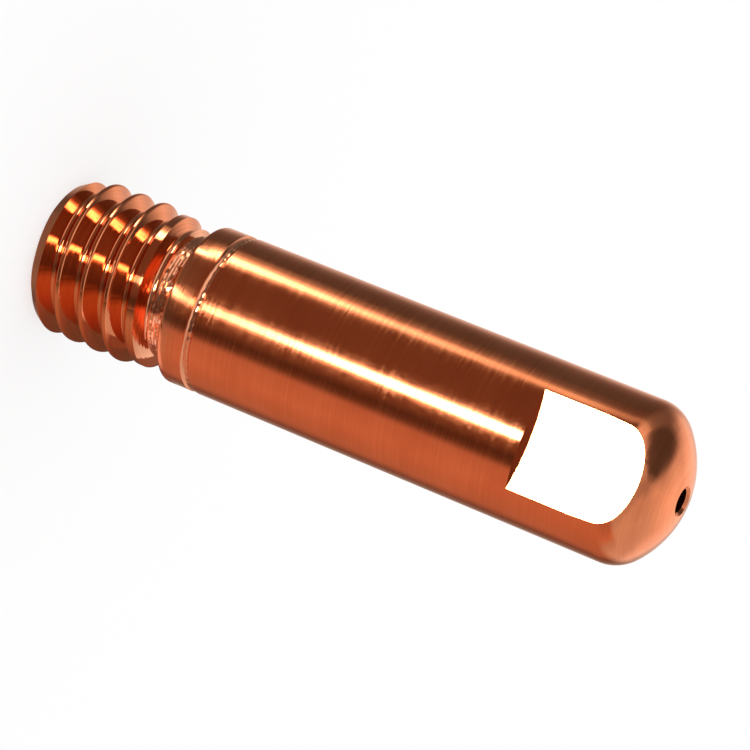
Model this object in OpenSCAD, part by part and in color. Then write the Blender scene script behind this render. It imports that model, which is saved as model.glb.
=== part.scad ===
// Contact tip for a gas metal arc welding torch: one turned copper piece.
// It stands on its threaded end, +Z runs along the axis to the nose, and all sizes are in millimetres.

/* [Overall] */
// Length from the threaded end to the rim where the wire leaves
overall_length = 25; // [20:0.5:40]
// Diameter of the turned body
body_d = 6; // [5.4:0.1:8]

/* [Thread] */
// Major diameter of the outside thread, an M6 with the usual tolerance
thread_d = 6; // [5.6:0.05:6.5]
// Pitch of the right-hand thread
thread_pitch = 1; // [0.75:0.05:1.25]
// Length from the threaded end to the shoulder
shank_length = 5.68; // [5:0.02:9]
// Radial depth of the chamfer that starts the thread
lead_chamfer = 0.4; // [0.3:0.01:0.7]
// Half angle of that chamfer, from the axis
lead_angle = 30; // [20:1:45]
// How far the last crest falls short of the major radius
runout_drop = 0.155; // [0.05:0.005:0.3]
// Length of the low last crest
runout_length = 0.7; // [0.4:0.05:1.2]
// Direction in which the helix starts, about the axis
thread_clock = 320; // [0:1:359]

/* [Relief] */
// Width of the relief before the shoulder, beyond one pitch
relief_extra = 0.02; // [0:0.01:0.5]
// How far the relief lies below the thread's root
relief_below_root = 0.04; // [0.02:0.01:0.2]

/* [Body] */
// Radius on the shoulder's edge
shoulder_round = 0.15; // [0.05:0.05:0.4]
// Distance from the shoulder to the middle of the ring groove
groove_offset = 1.2; // [0.7:0.01:4]
// Width of the ring groove
groove_width = 0.36; // [0.2:0.02:0.6]
// Depth of the ring groove
groove_depth = 0.13; // [0.05:0.01:0.18]

/* [Nose] */
// Rise of the nose's crown, before its corner is rounded
nose_rise = 1.41; // [0.8:0.01:2.2]
// Radius between the body and the crown
nose_corner = 1.25; // [0.4:0.05:1.6]
// Distance across the two spanner flats
across_flats = 4.8; // [4:0.1:5.2]
// Length of the flats, from the nose's rim
flat_length = 5.45; // [4:0.05:8]

/* [Wire way] */
// Diameter of the bore that guides the wire and carries the current
wire_bore_d = 0.9; // [0.7:0.1:1.6]
// Width of the broken edge where the wire leaves
mouth_break = 0.1; // [0.05:0.05:0.4]
// Diameter of the cone that takes in the wire at the threaded end
entry_d = 2.6; // [1.8:0.1:3.4]
// Depth of that cone
entry_depth = 1.4; // [0.6:0.1:3]

/* [Hidden] */
$fn = 96;
// Steps of the helix in one turn
turn_steps = 40;
// Overlap that carries a cut past the surface it opens
over = 0.5;

body_r = body_d / 2;
thread_r = thread_d / 2;
bore_r = wire_bore_d / 2;

// ISO metric form: 60 degree flanks, an eighth of the pitch left flat on the crest
flank = 30;
crest_flat = thread_pitch / 8;
thread_depth = 0.6134 * thread_pitch;
root_r = thread_r - thread_depth;
crest_gap = (thread_pitch - crest_flat) / 2;
root_gap = crest_gap - thread_depth * tan(flank);
// The cutter reaches past the crest, but not so far that its turns would meet
past_crest = 0.7 * (crest_flat / 2) / tan(flank);

// Heights along the axis
lead_length = lead_chamfer / tan(lead_angle);
relief_z = shank_length - thread_pitch - relief_extra;
runout_z = relief_z - runout_length;
runout_r = thread_r - runout_drop;
relief_r = root_r - relief_below_root;
groove_z = shank_length + groove_offset;
flat_z = overall_length - flat_length;
thread_end = shank_length - (thread_pitch + relief_extra) / 2;

// Crown as part of a sphere, its corner as an arc that touches the sphere and the body
mouth_r = bore_r + mouth_break;
crown_r = (body_r * body_r + nose_rise * nose_rise) / (2 * nose_rise);
crown_z = overall_length - sqrt(pow(crown_r, 2) - pow(mouth_r, 2));
corner_x = body_r - nose_corner;
corner_z = crown_z + sqrt(pow(crown_r - nose_corner, 2) - pow(corner_x, 2));
touch = atan2(corner_x, corner_z - crown_z);
touch_x = crown_r * sin(touch);

// Half section of the shank: lead chamfer, crest line, low last crest and relief
module shank_section() {
  polygon([
    [0, 0],
    [thread_r - lead_chamfer, 0],
    [thread_r, lead_length],
    [thread_r, runout_z - runout_drop],
    [runout_r, runout_z],
    [runout_r, relief_z],
    [relief_r, relief_z + (runout_r - relief_r) * tan(flank)],
    [relief_r, shank_length],
    [0, shank_length]
  ]);
}

// Half section of the body up to the corner, with the rounded edge of the shoulder
module body_section() {
  translate([0, shank_length + shoulder_round])
    square([body_r, corner_z - shank_length - shoulder_round]);
  translate([0, shank_length])
    square([body_r - shoulder_round, corner_z - shank_length]);
  translate([body_r - shoulder_round, shank_length + shoulder_round])
    circle(r = shoulder_round);
}

// Half section of the nose: the corner's arc and the crown as far as the point where they touch
module nose_section() {
  translate([corner_x, corner_z])
    circle(r = nose_corner);
  intersection() {
    translate([0, crown_z])
      circle(r = crown_r);
    translate([0, corner_z - over])
      square([touch_x, crown_r]);
  }
}

// Shallow ring groove with a round floor, as a full round that dips into the body
module groove_section() {
  groove_r = (pow(groove_width / 2, 2) + pow(groove_depth, 2)) / (2 * groove_depth);
  translate([body_r + groove_r - groove_depth, groove_z])
    circle(r = groove_r);
}

// Half section of the wire's way: entry cone, bore and broken edge at the nose
module wire_section() {
  polygon([
    [0, -over],
    [entry_d / 2, -over],
    [entry_d / 2, 0],
    [bore_r, entry_depth],
    [bore_r, overall_length - mouth_break],
    [mouth_r, overall_length],
    [mouth_r, overall_length + over],
    [0, overall_length + over]
  ]);
}

// Groove of the thread: a trapezium carried along the helix, from below the end into the relief
module thread_cut() {
  turns = (thread_end + thread_pitch) / thread_pitch;
  last = ceil(turns * turn_steps);
  out_r = thread_r + past_crest;
  out_gap = crest_gap + past_crest * tan(flank);
  function stop(i) = [360 * turns * i / last, thread_pitch * (turns * i / last - 1)];
  function place(r, s, dz) = [r * cos(s[0]), r * sin(s[0]), s[1] + dz];
  corners = [
    for (i = [0 : last])
      let (s = stop(i))
        each [
          place(root_r, s, -root_gap),
          place(out_r, s, -out_gap),
          place(out_r, s, out_gap),
          place(root_r, s, root_gap)
        ]
  ];
  sides = [
    for (i = [0 : last - 1], k = [0 : 3])
      let (a = 4 * i + k, b = 4 * i + (k + 1) % 4)
        each [[a, b + 4, a + 4], [a, b, b + 4]]
  ];
  end = 4 * last;
  caps = [[0, 2, 1], [0, 3, 2], [end, end + 1, end + 2], [end, end + 2, end + 3]];
  rotate([0, 0, thread_clock])
    polyhedron(points = corners, faces = concat(sides, caps));
}

// Two spanner flats, milled from the nose down to a square step
module flats_cut() {
  for (side = [0, 180])
    rotate([0, 0, side])
      translate([-body_d, -across_flats / 2 - body_d, flat_z])
        cube([2 * body_d, body_d, flat_length + over]);
}

module contact_tip() {
  color([0.86, 0.45, 0.29])
    difference() {
      rotate_extrude()
        difference() {
          union() {
            shank_section();
            body_section();
            nose_section();
          }
          groove_section();
          wire_section();
        }
      thread_cut();
      flats_cut();
    }
}

contact_tip();
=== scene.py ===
# %% [markdown]
# # A copper contact tip, turned from one bar
#
# A contact tip guides the wire of a welding torch and passes the current to it. It is one turned
# piece: a thread, a relief, a shoulder with a ring groove, a plain body, two spanner flats and a
# domed nose around the wire's bore. The imported CAD model is loaded first. It stays as it is.

# %% Load the CAD model
import math

import bpy
from mathutils import Euler, Matrix


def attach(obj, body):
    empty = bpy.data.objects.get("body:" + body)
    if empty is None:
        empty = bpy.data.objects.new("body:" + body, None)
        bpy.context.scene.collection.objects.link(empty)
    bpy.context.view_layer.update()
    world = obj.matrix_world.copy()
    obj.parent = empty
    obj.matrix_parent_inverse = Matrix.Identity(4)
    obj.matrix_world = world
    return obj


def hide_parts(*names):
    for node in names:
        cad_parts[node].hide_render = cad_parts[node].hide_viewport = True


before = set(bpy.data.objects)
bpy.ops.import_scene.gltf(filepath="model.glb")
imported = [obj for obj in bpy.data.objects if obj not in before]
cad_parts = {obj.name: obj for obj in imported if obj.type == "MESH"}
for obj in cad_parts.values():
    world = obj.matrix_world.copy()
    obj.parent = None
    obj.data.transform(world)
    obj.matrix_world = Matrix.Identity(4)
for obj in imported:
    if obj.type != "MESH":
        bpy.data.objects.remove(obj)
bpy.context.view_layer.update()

# %% [markdown]
# ## Sizes
#
# The sizes are the ones that the CAD source uses, in millimetres. The tip stands on its threaded
# end and Z runs along its axis, so a pair of numbers (r, z) is a point of its half section. Blender
# counts in metres, but a cut works better on numbers near one than on thousandths. So the piece is
# modelled with one unit to the millimetre, and is brought to metres when its shape is done.

# %% Sizes of the tip
length = 25.0
body_r = 3.0
thread_r = 3.0
pitch = 1.0
thread_depth = 0.6134 * pitch
shank_end = 5.68
bore_r = 0.45
print("length", length, "body radius", body_r, "thread pitch", pitch, "shoulder at", shank_end)

# %% [markdown]
# ## The turned blank
#
# On the lathe a tool follows the half section while the bar turns. The same can be done here: one
# vertex is extruded from point to point along the half section, and Spin carries that line once
# round the axis. A cylinder with cuts would also give the form, but the line keeps every edge, arc
# and groove in one place, where it can be read like a drawing.

# %% Points of the shank
lead_depth = 0.4
lead_length = lead_depth / math.tan(math.radians(30))
runout_length = 0.7
runout_drop = 0.155
runout_r = thread_r - runout_drop
relief_extra = 0.02
relief_start = shank_end - pitch - relief_extra
# One more ring about halfway keeps the faces of the crests from getting too long.
halfway = 2.4
shank = [
    (thread_r - lead_depth, 0.0),
    (thread_r, lead_length),
    (thread_r, halfway),
    (thread_r, relief_start - runout_length - runout_drop),
    (runout_r, relief_start - runout_length),
    (runout_r, relief_start),
]
print("shank points:", len(shank), "last crest, radius", round(runout_r, 3))

# %% Points of the relief
relief_r = thread_r - thread_depth - 0.04
relief_floor = relief_start + (runout_r - relief_r) * math.tan(math.radians(30))
ridges = 6
ridge_height = 0.028
ridge_step = (shank_end - relief_floor) / ridges
relief = [(relief_r, relief_floor)]
for i in range(ridges):
    relief.append((relief_r + ridge_height, relief_floor + (i + 0.5) * ridge_step))
    relief.append((relief_r, relief_floor + (i + 1) * ridge_step))
print("relief points:", len(relief), "relief radius", round(relief_r, 3))


# %% Points of the shoulder and the ring groove
def arc(centre, radius, start, end, steps):
    """Points along an arc of the half section. Angles are in degrees, 0 points away from the axis."""
    turns = [math.radians(start + (end - start) * i / steps) for i in range(steps + 1)]
    return [(centre[0] + radius * math.cos(a), centre[1] + radius * math.sin(a)) for a in turns]


shoulder_round = 0.15
shoulder = arc((body_r - shoulder_round, shank_end + shoulder_round), shoulder_round, -90, 0, 5)
groove_z = shank_end + 1.2
groove_depth = 0.13
groove_half = 0.18
groove_r = (groove_half**2 + groove_depth**2) / (2 * groove_depth)
groove_edge = math.degrees(math.asin(groove_half / groove_r))
groove_centre = (body_r + groove_r - groove_depth, groove_z)
groove = arc(groove_centre, groove_r, 180 + groove_edge, 180 - groove_edge, 8)
print("groove radius", round(groove_r, 3), "at", groove_z)

# %% Points of the body, the nose and the wire's way
nose_rise = 1.41
corner_r = 1.25
mouth_break = 0.1
mouth_r = bore_r + mouth_break
crown_r = (body_r**2 + nose_rise**2) / (2 * nose_rise)
crown_z = length - math.sqrt(crown_r**2 - mouth_r**2)
corner_x = body_r - corner_r
corner_z = crown_z + math.sqrt((crown_r - corner_r) ** 2 - corner_x**2)
touch = math.degrees(math.atan2(corner_z - crown_z, corner_x))
rim = math.degrees(math.acos(mouth_r / crown_r))
# The plain body has a ring at every millimetre, and the bore has two rings on its way.
rows = [(body_r, groove_z + 1 + i) for i in range(15)]
corner = arc((corner_x, corner_z), corner_r, 0, touch, 12)
crown_arc = arc((0, crown_z), crown_r, touch, rim, 12)
nose = corner + crown_arc[1:]
entry_r = 1.3
entry_depth = 1.4
bore = [(bore_r, length - mouth_break), (bore_r, 16.0), (bore_r, 8.0), (bore_r, entry_depth)]
section = [(entry_r, 0.0)] + shank + relief + shoulder + groove + rows + nose + bore
print("half section:", len(section), "points, nose starts at", round(corner_z, 3))

# %% Draw the half section and spin it
columns = 192


def draw(name, points):
    """One vertex, extruded from point to point in the XZ plane and joined into a ring of edges."""
    bpy.ops.object.select_all(action="DESELECT")
    bpy.ops.mesh.primitive_plane_add(size=1)
    piece = bpy.context.object
    piece.name = name
    bpy.ops.object.mode_set(mode="EDIT")
    bpy.ops.mesh.select_mode(type="VERT")
    bpy.ops.mesh.merge(type="CENTER")
    bpy.ops.transform.translate(value=(points[0][0], 0, points[0][1]))
    for (r0, z0), (r1, z1) in zip(points, points[1:] + points[:1]):
        bpy.ops.mesh.extrude_vertices_move(TRANSFORM_OT_translate={"value": (r1 - r0, 0, z1 - z0)})
    bpy.ops.mesh.select_all(action="SELECT")
    bpy.ops.mesh.remove_doubles(threshold=1e-4)
    return piece


tip = draw("turned_tip", section)
bpy.ops.mesh.spin(steps=columns, angle=2 * math.pi, center=(0, 0, 0), axis=(0, 0, 1))
bpy.ops.mesh.select_all(action="SELECT")
bpy.ops.mesh.remove_doubles(threshold=1e-4)
bpy.ops.mesh.normals_make_consistent(inside=False)
bpy.ops.object.mode_set(mode="OBJECT")
print("blank:", len(tip.data.vertices), "vertices,", len(tip.data.polygons), "faces")

# %% [markdown]
# ## Chatter in the ring groove and the relief
#
# A narrow tool hums when it cuts a ring groove or a relief, and leaves small facets across the floor.
# They break the light into dashes and spots. In the groove every second pair of columns
# is selected on the floor by its place, and is scaled towards the axis by about two hundredths of a
# millimetre. In the relief the facets have no order, so its points are moved a little by chance.

# %% Press the chatter marks in
chatter = 0.018


def select(piece, wanted):
    """Selects the points of a piece that are wanted, goes into edit mode and counts them."""
    bpy.ops.object.mode_set(mode="EDIT")
    bpy.ops.mesh.select_all(action="DESELECT")
    bpy.ops.object.mode_set(mode="OBJECT")
    for vertex in piece.data.vertices:
        vertex.select = wanted(math.hypot(vertex.co.x, vertex.co.y), vertex.co)
    count = sum(vertex.select for vertex in piece.data.vertices)
    bpy.ops.object.mode_set(mode="EDIT")
    return count


def on_mark(r, point):
    """Whether a point lies on the floor of the groove and on a chatter mark."""
    if abs(point.z - groove_z) < 0.6 * groove_half and 2 < r < body_r - 0.02:
        return round(math.atan2(point.y, point.x) / (2 * math.pi) * columns) % 4 < 2
    return False


marked = select(tip, on_mark)
squeeze = 1 - chatter / body_r
bpy.ops.transform.resize(value=(squeeze, squeeze, 1), center_override=(0, 0, 0))
bpy.ops.object.mode_set(mode="OBJECT")
print("chatter marks:", columns // 4, "round, of", chatter, "mm, on", marked, "points")


# %% Break up the ridges in the relief
def in_relief(r, point):
    """Whether a point lies on the ridges, but not at either end of the relief."""
    return relief_floor + 0.01 < point.z < shank_end - 0.01 and abs(r - relief_r) < 2 * ridge_height


moved = select(tip, in_relief)
bpy.ops.transform.vertex_random(offset=0.75 * chatter, uniform=0, normal=1, seed=4)
bpy.ops.object.mode_set(mode="OBJECT")
print("points moved in the relief:", moved)

# %% [markdown]
# ## The nose leans a little
#
# The dome of the nose leans to the front by some degrees, as if it had been dressed by hand: the flat
# there ends earlier, and more of the wire's mouth can be seen. Each ring of the nose is selected by
# its place and is turned by the same angle, so the dome stays round. The line it turns about lies
# behind the mouth, so no part of the tip gets higher than it was.

# %% Turn the rings of the nose
lean = 7.5
lean_line = 1.12
nose_rings = nose + bore[:1]
for ring_r, ring_z in nose_rings:
    select(tip, lambda r, point: abs(point.z - ring_z) < 1e-3 and abs(r - ring_r) < 1e-3)
    bpy.ops.transform.rotate(
        value=-math.radians(lean), orient_axis="X", center_override=(0, lean_line, ring_z),
    )
bpy.ops.object.mode_set(mode="OBJECT")
print("nose rings turned:", len(nose_rings), "highest point", round(max(v.co.z for v in tip.data.vertices), 4))

# %% [markdown]
# ## The thread
#
# The thread is a groove that winds round the shank. Its outline is drawn once, with 60 degree
# flanks, a rounded root and rounded edges at the crest, and a Screw modifier carries it along the
# helix. That gives a cutter like a corkscrew, and a Boolean takes it out of the blank. The lead
# chamfer and the low last crest then come by themselves, as they do on the lathe.

# %% Outline of the thread's groove
flank = math.tan(math.radians(30))
root_r = thread_r - thread_depth
crest_half = pitch * 7 / 16
root_half = crest_half - thread_depth * flank
root_round = 0.12
crest_round = 0.085
crest_z = crest_half + crest_round * flank
root = arc((root_r + root_round, root_half - root_round * flank), root_round, 180, 120, 4)
crest = arc((thread_r - crest_round, crest_z), crest_round, -60, -8, 6)
# Two points near the ends of the flank keep its middle flat when it is shaded.
straight = [tuple(a + way * (b - a) for a, b in zip(root[-1], crest[0])) for way in (0.06, 0.94)]
# Outside the crest the cutter goes straight out, so that its turns don't meet.
wall_z = pitch / 2 - 0.015
wall = [(thread_r + 0.05, wall_z), (thread_r + 0.3, wall_z)]
upper = root + straight + crest + wall
outline = upper + [(r, -z) for r, z in reversed(upper)]
print("groove outline:", len(outline), "points, root radius", round(root_r, 3))

# %% Wind the cutter
thread_clock = math.radians(320)
thread_end = shank_end - (pitch + relief_extra) / 2
turns = thread_end / pitch + 1
steps_in_turn = 160
cutter = draw("thread_cutter", outline)
bpy.ops.transform.translate(value=(0, 0, -pitch))
bpy.ops.object.mode_set(mode="OBJECT")
winding = cutter.modifiers.new("helix", "SCREW")
winding.axis = "Z"
winding.angle = 2 * math.pi * turns
winding.screw_offset = pitch * turns
winding.steps = winding.render_steps = round(steps_in_turn * turns)
winding.use_merge_vertices = False
bpy.ops.object.modifier_apply(modifier="helix")
bpy.ops.object.mode_set(mode="EDIT")
bpy.ops.mesh.select_all(action="DESELECT")
bpy.ops.mesh.select_non_manifold()
bpy.ops.mesh.edge_face_add()
bpy.ops.mesh.select_all(action="SELECT")
bpy.ops.transform.rotate(value=-thread_clock, orient_axis="Z", center_override=(0, 0, 0))
bpy.ops.mesh.normals_make_consistent(inside=False)
bpy.ops.object.mode_set(mode="OBJECT")
print("cutter:", len(cutter.data.polygons), "faces,", [round(v, 3) for v in cutter.dimensions])


# %% Take the cutter out of the blank
def cut(piece, tool):
    """Takes the tool's shape out of the piece, and the tool out of the scene."""
    bpy.ops.object.select_all(action="DESELECT")
    piece.select_set(True)
    bpy.context.view_layer.objects.active = piece
    boolean = piece.modifiers.new("cut", "BOOLEAN")
    boolean.operation = "DIFFERENCE"
    boolean.solver = "EXACT"
    boolean.object = tool
    bpy.ops.object.modifier_apply(modifier="cut")
    bpy.data.objects.remove(tool)


cut(tip, cutter)
print("tip with thread:", len(tip.data.polygons), "faces")

# %% [markdown]
# ## The spanner flats
#
# Two flats are milled beside the nose, for a spanner. Each one is a block's worth of metal taken
# off, down to a square step in the body.

# %% Mill the two flats
flat_z = length - 5.45
across_flats = 4.8
block_size = (8, 4, 8)
for side in (-1, 1):
    bpy.ops.object.select_all(action="DESELECT")
    centre = (0, side * (across_flats + block_size[1]) / 2, flat_z + block_size[2] / 2)
    bpy.ops.mesh.primitive_cube_add(size=1, location=centre, scale=block_size)
    block = bpy.context.object
    bpy.ops.object.transform_apply(location=True, rotation=True, scale=True)
    cut(tip, block)
print("tip with flats:", len(tip.data.polygons), "faces")

# %% [markdown]
# ## Metres and smooth shading
#
# The finished shape is brought to metres in edit mode, so the object itself stays unscaled. Arcs
# and round walls are shaded smooth, and every edge that turns by more than the angle stays sharp:
# the shoulder, the step and the long edges of the flats, which turn by about 37 degrees.

# %% Bring the tip to metres and smooth it
sharp_from = 30
bpy.ops.object.mode_set(mode="EDIT")
bpy.ops.mesh.select_all(action="SELECT")
bpy.ops.transform.resize(value=(0.001, 0.001, 0.001), center_override=(0, 0, 0))
bpy.ops.object.mode_set(mode="OBJECT")
bpy.ops.object.shade_smooth_by_angle(angle=math.radians(sharp_from))
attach(tip, "root")
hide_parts("contact_tip")
tip.data.calc_loop_triangles()
print("triangles:", len(tip.data.loop_triangles), "size, mm:", [round(1000 * v, 3) for v in tip.dimensions])

# %% [markdown]
# ## Turned copper
#
# Bright copper is a mirror with a strong colour. A lathe leaves fine rings on it, some hundredths
# of a millimetre apart, and each ring is a little duller or brighter than the next. They fray the
# edges of every reflection. So the finish is a metal whose roughness and height follow one noise,
# which runs fast along the axis and slowly round it.

# %% A colour and a node
def linear(code):
    """A colour written as on the web, as the linear light that Blender counts in."""
    parts = [int(code[i : i + 2], 16) / 255 for i in (1, 3, 5)]
    return [v / 12.92 if v <= 0.04045 else ((v + 0.055) / 1.055) ** 2.4 for v in parts] + [1]


def add(tree, kind, inputs, **settings):
    """Adds a node with its settings. An input is a value, or the socket of another node to link to."""
    node = tree.nodes.new(kind)
    for name, value in settings.items():
        setattr(node, name, value)
    for name, value in inputs.items():
        if isinstance(value, bpy.types.NodeSocket):
            tree.links.new(value, node.inputs[name])
        else:
            node.inputs[name].default_value = value
    return node


def material(name):
    """An empty material, its nodes and its output."""
    made = bpy.data.materials.new(name)
    made.use_nodes = True
    made.node_tree.nodes.clear()
    return made, made.node_tree, made.node_tree.nodes.new("ShaderNodeOutputMaterial")


print("white is", linear("#FFFFFF"))


# %% A ramp of levels
def paint(ramp, stops, start, end):
    """Sets a ramp's stops. Each one is a place between start and end, and a level or a colour."""
    while len(ramp.elements) > 1:
        ramp.elements.remove(ramp.elements[-1])
    places = [(at - start) / (end - start) for at, level in stops]
    ramp.elements[0].position = places[0]
    for at in places[1:]:
        ramp.elements.new(at)
    for stop, (at, level) in zip(ramp.elements, stops):
        stop.color = (*level, 1) if isinstance(level, tuple) else (level, level, level, 1)


# %% Stretches along the tip
# Copper, turned and left bright: orange-red, with clear reflections that fray across the rings.
copper, tree, out = material("turned_copper")
place = add(tree, "ShaderNodeTexCoord", {}).outputs["Object"]
along = add(tree, "ShaderNodeSeparateXYZ", {"Vector": place})
zone = add(tree, "ShaderNodeMapRange", {
    "Value": along.outputs["Z"], "From Min": 0.0, "From Max": 0.001 * length,
})
stretches = add(tree, "ShaderNodeValToRGB", {"Fac": zone.outputs["Result"]})
# Places in millimetres from the threaded end. Red is how dull a stretch of the tip is, green how
# deep its rings are, in hundredths of a millimetre, and blue how much paler its colour is painted:
# the floors of the relief and of the ring groove are painted paler, a painted reflection of pale light.
threaded, body, milled = (0.5, 0.1, 0), (1, 0.22, 0), (0.5, 0.04, 0)
groove_painted_pale = (0.7, 0.22, 1)
paint(stretches.color_ramp, [
    (0, threaded), (4.0, threaded), (4.6, (0.5, 0.5, 0)), (4.75, (0.5, 0.5, 1)), (5.5, (0.6, 0.5, 1)),
    (5.7, body), (6.7, body), (6.76, groove_painted_pale), (7.0, groove_painted_pale), (7.06, body),
    (19.3, body), (19.8, milled),
], 0, length)
zones = add(tree, "ShaderNodeSeparateColor", {"Color": stretches.outputs["Color"]})
print("stretches along the tip:", len(stretches.color_ramp.elements), "stops")

# %% Rings that the lathe left
ring_spacing = 0.00005
ring_length = 0.004
ring_depth = 0.00001
finest, dullest = 0.09, 0.2
stretch = (1 / ring_length, 1 / ring_length, 1 / ring_spacing)
stretched = add(tree, "ShaderNodeMapping", {"Vector": place, "Scale": stretch})
marks = add(tree, "ShaderNodeTexNoise", {"Vector": stretched.outputs["Vector"], "Scale": 1, "Detail": 2})
deep = add(tree, "ShaderNodeMath", {0: zones.outputs["Green"], 1: ring_depth}, operation="MULTIPLY")
height = add(tree, "ShaderNodeBump", {
    "Height": marks.outputs["Fac"], "Distance": deep.outputs[0], "Strength": 1,
})
dull = add(tree, "ShaderNodeMapRange", {
    "Value": marks.outputs["Fac"], "From Min": 0.3, "From Max": 0.7, "To Min": finest, "To Max": dullest,
})
gloss = add(tree, "ShaderNodeMath", {
    0: dull.outputs["Result"], 1: zones.outputs["Red"],
}, operation="MULTIPLY")
print("rings:", 1000 * ring_spacing, "mm apart")

# %% Its colour
patch_size = 0.0015
patches = add(tree, "ShaderNodeTexNoise", {"Vector": place, "Scale": 1 / patch_size, "Detail": 2})
worn = add(tree, "ShaderNodeMath", {0: patches.outputs["Fac"], 1: marks.outputs["Fac"]}, operation="MULTIPLY")
tone = add(tree, "ShaderNodeValToRGB", {"Fac": worn.outputs[0]})
tone.color_ramp.elements[0].position = 0.12
tone.color_ramp.elements[0].color = linear("#EE9A70")
tone.color_ramp.elements[1].position = 0.38
tone.color_ramp.elements[1].color = linear("#FAA87E")
# Where blue is set, the relief and the ring groove are painted paler and pinker: a painted reflection of pale
# light.
painted_paler_floors = add(tree, "ShaderNodeMix", {
    "Factor": zones.outputs["Blue"], 6: tone.outputs["Color"], 7: linear("#FFC2A0"),
}, data_type="RGBA")
shader = add(tree, "ShaderNodeBsdfPrincipled", {
    "Base Color": painted_paler_floors.outputs[2],
    "Metallic": 1,
    "Roughness": gloss.outputs[0],
    "Normal": height.outputs["Normal"],
})
tree.links.new(shader.outputs["BSDF"], out.inputs["Surface"])
tip.data.materials.clear()
tip.data.materials.append(copper)
print("materials on the tip:", [m.name for m in tip.data.materials])

# %% [markdown]
# ## The floor
#
# The tip stands on a plain white floor. Most of what the camera sees of it is plain white light, and
# the rest is lit paper, so the tip's shadow stays, but soft and pale. The metal doesn't show the
# floor: what it shows is painted on the tent that comes next.

# %% A white floor
bpy.ops.object.select_all(action="DESELECT")
bpy.ops.mesh.primitive_plane_add(size=4)
floor = bpy.context.object
floor.name = "floor"
floor.visible_glossy = False
# White paper: a bright ground with no grain, which only the tip's shadow breaks.
paper, tree, out = material("white_paper")
plain_white = 0.7
rays = add(tree, "ShaderNodeLightPath", {})
matt = add(tree, "ShaderNodeBsdfDiffuse", {"Color": linear("#FAFAFA")})
glow = add(tree, "ShaderNodeEmission", {"Color": (1, 1, 1, 1), "Strength": 1.02})
glowing = add(tree, "ShaderNodeMath", {
    0: rays.outputs["Is Camera Ray"], 1: plain_white, 2: rays.outputs["Is Glossy Ray"],
}, operation="MULTIPLY_ADD")
mixed = add(tree, "ShaderNodeMixShader", {
    0: glowing.outputs[0], 1: matt.outputs["BSDF"], 2: glow.outputs["Emission"],
})
tree.links.new(mixed.outputs["Shader"], out.inputs["Surface"])
floor.data.materials.append(paper)
print("floor:", floor.dimensions.x, "m wide")

# %% [markdown]
# ## A tent of cloth
#
# Polished metal shows its surroundings and little else. So a tent of cloth hangs round the table,
# out of the camera's sight, as it does for product pictures. The cloth is pale in some directions
# and dark in others, with two lit slots and a window, and these make the tip's bright and dark
# stripes. It is a sphere far larger than the tip, painted by direction only, so the tip's place in
# it doesn't matter.

# %% A tent round the table
bpy.ops.object.select_all(action="DESELECT")
bpy.ops.mesh.primitive_uv_sphere_add(segments=64, ring_count=32, radius=0.4)
tent = bpy.context.object
tent.name = "light_tent"
tent.visible_camera = tent.visible_diffuse = tent.visible_shadow = tent.visible_transmission = False
print("tent:", round(tent.dimensions.x, 2), "m wide")


# %% Directions on its cloth
def direction(tree, spot):
    """Where a spot lies: its split X, Y and Z, and its angle round the axis in radians."""
    split = add(tree, "ShaderNodeSeparateXYZ", {"Vector": spot})
    near = add(tree, "ShaderNodeMath", {0: split.outputs["Y"], 1: -1}, operation="MULTIPLY")
    angle = add(tree, "ShaderNodeMath", {0: split.outputs["X"], 1: near.outputs[0]}, operation="ARCTAN2")
    return split, angle.outputs[0]


# Cloth that the lamps shine through: white and brown sheets, each with soft edges.
cloth, tree, out = material("tent_cloth")
place = add(tree, "ShaderNodeTexCoord", {}).outputs["Object"]
aim = add(tree, "ShaderNodeVectorMath", {0: place}, operation="NORMALIZE")
split, bearing = direction(tree, aim.outputs[0])
slope = add(tree, "ShaderNodeMath", {0: split.outputs["Z"]}, operation="ARCSINE").outputs[0]
all_round = add(tree, "ShaderNodeMapRange", {"Value": bearing, "From Min": -math.pi, "From Max": math.pi})
print("nodes of the tent:", len(tree.nodes))


# %% Its pale and dark stretches
def warm(level):
    """A level of light from brown cloth."""
    return (level, 0.6 * level, 0.45 * level)


# Directions in degrees: 0 is towards the camera, positive to the side of +X.
underneath = [(0, 0.24)]
below = [
    (-177, 0.6), (-152, 0.4), (-138, 0.15), (-112, 0.1), (-80, 0.12), (-64, 0.18), (-25, 0.2), (0, 0.18),
    (22, 0.12), (36, 0.11), (46, 0.4), (70, 0.5), (95, 0.48), (118, 0.3), (140, 0.14), (158, 0.25), (176, 0.6),
]
level_with_tip = [
    (-177, 0.95), (-160, 0.72), (-150, 0.45), (-140, 0.23), (-130, 0.15), (-119, 0.12), (-102, 0.11),
    (-69, warm(0.17)), (-22, warm(0.18)), (9, warm(0.2)), (18, warm(0.2)), (30, warm(0.085)), (40, warm(0.145)),
    (49, warm(0.56)), (80, warm(0.62)), (102, warm(0.55)), (123, warm(0.5)), (132, warm(0.38)),
    (140, warm(0.22)), (154, 0.26), (163, 0.42), (172, 0.72),
]
above = [
    (-177, 1.1), (-165, 1.25), (-155, 1.05), (-148, 0.85), (-141, 0.45), (-133, 0.24), (-124, 0.18),
    (-105, 0.2), (-96, 0.22), (-88, 0.28), (-80, 0.42), (-72, 0.9), (-30, 0.9), (-18, 0.45), (-5, 0.3),
    (4, 0.12), (38, 0.1), (46, warm(0.45)), (85, warm(0.54)), (95, warm(0.62)), (112, 0.62), (122, 0.72),
    (140, 0.72), (152, 0.98), (168, 1.15),
]
high_up = [
    (-175, 1.05), (-165, 0.97), (-155, 0.86), (-147, 0.74), (-142, 0.42), (-137, 0.16), (-130, 0.09),
    (-118, 0.09), (-100, 0.1), (-87, 0.14), (-79, 0.26), (-70, 0.6), (-62, 0.9), (-15, 1), (20, 0.9), (50, 0.7),
    (75, 0.58), (92, 0.68), (110, 0.72), (130, 0.68), (142, 0.74), (155, 0.92), (170, 1.1),
]
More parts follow.
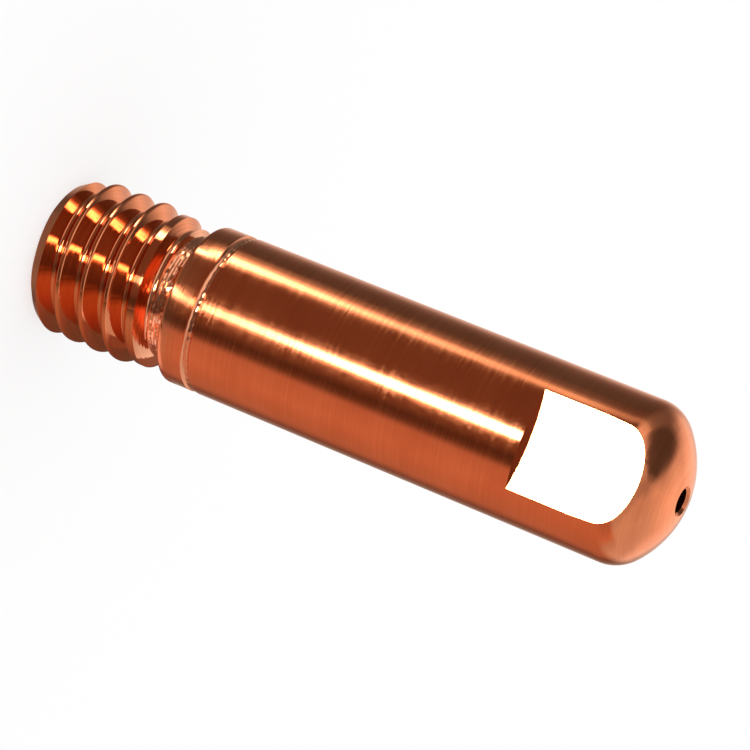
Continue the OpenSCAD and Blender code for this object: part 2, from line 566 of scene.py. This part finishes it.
overhead = [
    (-180, 0.82), (-165, 0.72), (-152, 0.6), (-142, 0.4), (-132, 0.18), (-122, 0.09), (-85, 0.11), (-76, 0.2),
    (-65, 0.6), (60, 0.5), (75, 0.56), (92, 0.7), (115, 0.64), (150, 0.78), (170, 0.84),
]
crown = [(0, 0.45)]
print("stops round the tent:", [len(stops) for stops in (below, level_with_tip, above, high_up, overhead)])

# %% Hang the bands one above the other
# Each band has the slope in degrees where it begins to cover the one below, and where it covers it.
bands = [
    (-90, -90, underneath), (-72, -58, below), (-32, -25, level_with_tip), (7, 20, above), (36, 45, high_up),
    (58, 72, overhead), (79, 88, crown),
]
sheet = None
for begin, full, stops in bands:
    ramp = add(tree, "ShaderNodeValToRGB", {"Fac": all_round.outputs["Result"]})
    paint(ramp.color_ramp, stops, -180, 180)
    if sheet:
        fade = add(tree, "ShaderNodeMapRange", {
            "Value": slope, "From Min": math.radians(begin), "From Max": math.radians(full),
        })
        sheet = add(tree, "ShaderNodeMix", {
            "Factor": fade.outputs["Result"], 6: sheet, 7: ramp.outputs["Color"],
        }, data_type="RGBA").outputs[2]
    else:
        sheet = ramp.outputs["Color"]
print("bands of cloth:", len(bands))

# %% Its slots and its window, round the tent
# Red stands for the left slot, blue for its narrow lower end, and green for the front slot with
# the window above it. One ramp goes round the tent and one goes up it, and the lit places are where
# both have a colour. Towards the floor the slots bend to the left.
left, right = -115, 20
bend_low, bend_high, bend_by = -34, -28, 10
sideways = add(tree, "ShaderNodeMapRange", {
    "Value": bearing, "From Min": math.radians(left), "From Max": math.radians(right),
})
bend = add(tree, "ShaderNodeMapRange", {
    "Value": slope, "From Min": math.radians(bend_low), "From Max": math.radians(bend_high),
    "To Min": bend_by / (right - left), "To Max": 0,
})
bent = add(tree, "ShaderNodeMath", {
    0: sideways.outputs["Result"], 1: bend.outputs["Result"],
}, operation="ADD")
round_tent = add(tree, "ShaderNodeValToRGB", {"Fac": bent.outputs[0]})
paint(round_tent.color_ramp, [
    (-104, (0, 0, 0)), (-92, (0.09, 0, 0)), (-87, (0.33, 0, 0)), (-83, (1, 0, 0)), (-79, (1, 0, 0)),
    (-77.5, (0.8, 0, 1)), (-73.5, (0.1, 0, 1)), (-72, (0.08, 0, 1)), (-70.5, (0.05, 0, 0)), (-68, (0, 0, 0)),
    (-8, (0, 0, 0)), (-5.5, (0, 0.06, 0)), (-3.4, (0, 1, 0)), (2.8, (0, 1, 0)), (5, (0, 0.06, 0)), (8, (0, 0, 0)),
], left, right)
print("round the tent:", len(round_tent.color_ramp.elements), "stops")

# %% The same, up the tent
foot, top = -70, 40
upwards = add(tree, "ShaderNodeMapRange", {
    "Value": slope, "From Min": math.radians(foot), "From Max": math.radians(top),
})
up_tent = add(tree, "ShaderNodeValToRGB", {"Fac": upwards.outputs["Result"]})
paint(up_tent.color_ramp, [
    (-60, (0, 0, 0)), (-48, (0, 0.6, 0)), (-36, (0, 1, 0.2)), (-30, (0, 0.9, 0.8)), (-27.5, (0, 0.5, 1)),
    (-26, (0.1, 0.1, 1)), (-24.6, (0.3, 0.08, 0.9)), (-23.6, (0.9, 0.1, 0.6)), (-22.9, (1, 0.15, 0)),
    (-21, (1, 0.25, 0)), (-19.5, (0.42, 0.6, 0)), (-17.9, (0.2, 1, 0)), (-15.6, (0.18, 0.85, 0)),
    (-15, (0.18, 4, 0)), (-12, (0.1, 4, 0)), (-7, (0.04, 4, 0)), (-6, (0.04, 0, 0)),
    (14, (0.03, 0, 0)), (36, (0.03, 0, 0)), (39, (0, 0, 0)),
], foot, top)
print("up the tent:", len(up_tent.color_ramp.elements), "stops")

# %% Light the tent
lamp_level = 10
lamp_light = (lamp_level, lamp_level, 0.9 * lamp_level)
tint = (1, 0.78, 0.66)
slots = add(tree, "ShaderNodeVectorMath", {
    0: round_tent.outputs["Color"], 1: up_tent.outputs["Color"],
}, operation="DOT_PRODUCT")
lamps = add(tree, "ShaderNodeVectorMath", {0: lamp_light, "Scale": slots.outputs["Value"]}, operation="SCALE")
total = add(tree, "ShaderNodeVectorMath", {0: sheet, 1: lamps.outputs[0]}, operation="ADD")
lit = add(tree, "ShaderNodeVectorMath", {0: total.outputs[0], 1: tint}, operation="MULTIPLY")
glow = add(tree, "ShaderNodeEmission", {"Color": lit.outputs[0], "Strength": 1})
tree.links.new(glow.outputs["Emission"], out.inputs["Surface"])
tent.data.materials.append(cloth)
print("slots:", lamp_level, "times as bright as the floor")

# %% [markdown]
# ## A glowing card beside the thread
#
# A bent card stands close to the thread, on the side that is its underside in the picture. It glows,
# and only the metal shows it: it keeps the light of the tent off that side, and its brown glow is a
# painted shade there. Its pale upper edge glows too, a painted light band on the relief. It is part of a
# cylinder.

# %% Bend the card
card_r, card_low, card_high = 0.0035, 0.0003, 0.0055
card_begin, card_end = 26, 135
bpy.ops.object.select_all(action="DESELECT")
bpy.ops.mesh.primitive_cylinder_add(
    vertices=180, radius=card_r, depth=card_high - card_low, end_fill_type="NOTHING",
    location=(0, 0, (card_low + card_high) / 2),
)
card = bpy.context.object
card.name = "glowing_reflection_card"
bpy.ops.object.transform_apply(location=True, rotation=True, scale=True)
bpy.ops.object.mode_set(mode="EDIT")
bpy.ops.mesh.select_mode(type="FACE")
bpy.ops.mesh.select_all(action="DESELECT")
bpy.ops.object.mode_set(mode="OBJECT")
for face in card.data.polygons:
    face.select = not card_begin < math.degrees(math.atan2(face.center.x, -face.center.y)) < card_end
bpy.ops.object.mode_set(mode="EDIT")
bpy.ops.mesh.delete(type="FACE")
bpy.ops.object.mode_set(mode="OBJECT")
card.visible_camera = card.visible_diffuse = card.visible_shadow = card.visible_transmission = False
print("card:", len(card.data.polygons), "faces")

# %% Its painted glow
# A glowing card, brown with a pale pink edge: painted shade and a painted light band that the thread reflects,
# which give the thread its orange underside.
card_glow, tree, out = material("glowing_card")
edge_low, edge_high = 0.0046, 0.0048
# The brown and the shade are glowing painted shade, and the pink is a glowing painted light band.
brown, shade, pink = (0.28, 0.12, 0.08), (0.12, 0.08, 0.05), (1.05, 0.7, 0.62)
place = add(tree, "ShaderNodeTexCoord", {}).outputs["Object"]
split, bearing = direction(tree, place)
half_round = add(tree, "ShaderNodeMapRange", {"Value": bearing, "From Min": 0, "From Max": math.pi})
dark = add(tree, "ShaderNodeValToRGB", {"Fac": half_round.outputs["Result"]})
paint(dark.color_ramp, [
    (26, shade), (30, (0.3, 0.18, 0.11)), (37, (0.5, 0.3, 0.19)), (52, (0.47, 0.25, 0.15)),
    (66, (0.38, 0.17, 0.1)), (78, brown), (88, (0.2, 0.1, 0.07)), (110, (0.16, 0.09, 0.06)),
], 0, 180)
pale = add(tree, "ShaderNodeValToRGB", {"Fac": half_round.outputs["Result"]})
paint(pale.color_ramp, [(28, shade), (36, pink), (64, pink), (80, brown)], 0, 180)
edge = add(tree, "ShaderNodeMapRange", {
    "Value": split.outputs["Z"], "From Min": edge_low, "From Max": edge_high,
})
both = add(tree, "ShaderNodeMix", {
    "Factor": edge.outputs["Result"], 6: dark.outputs["Color"], 7: pale.outputs["Color"],
}, data_type="RGBA")
glow = add(tree, "ShaderNodeEmission", {"Color": both.outputs[2], "Strength": 1})
tree.links.new(glow.outputs["Emission"], out.inputs["Surface"])
card.data.materials.append(card_glow)
print("paint of the card:", len(tree.nodes), "nodes")

# %% [markdown]
# ## Light and camera
#
# Soft white light comes from all sides and lights the floor. The camera looks down on the tip from
# the front, and is rolled so far that the standing tip lies across the picture, with its nose at the
# lower right.

# %% Soft light from all sides
world = bpy.data.worlds.new("soft_studio")
bpy.context.scene.world = world
world.use_nodes = True
tree = world.node_tree
tree.nodes.clear()
out = tree.nodes.new("ShaderNodeOutputWorld")
sky = add(tree, "ShaderNodeBackground", {"Color": (1, 1, 1, 1), "Strength": 1.0})
tree.links.new(sky.outputs["Background"], out.inputs["Surface"])
print("world:", world.name)

# %% The camera
camera = bpy.data.objects.new("camera", bpy.data.cameras.new("camera"))
bpy.context.scene.collection.objects.link(camera)
bpy.context.scene.camera = camera
camera.data.lens = 124.8
camera.data.sensor_width = 36
camera.data.clip_start = 0.001
camera.data.clip_end = 10
camera.location = (-0.0015263, -0.0874444, 0.0419192)
heading = math.radians(-0.974)
tilt = math.radians(90 - 18.334)
roll = math.radians(112.176)
level = Euler((tilt, 0, heading), "XYZ").to_matrix()
camera.rotation_euler = (level @ Matrix.Rotation(roll, 3, "Z")).to_euler()
bpy.context.scene.view_settings.view_transform = "Standard"
print("camera:", [round(1000 * v, 2) for v in camera.location])
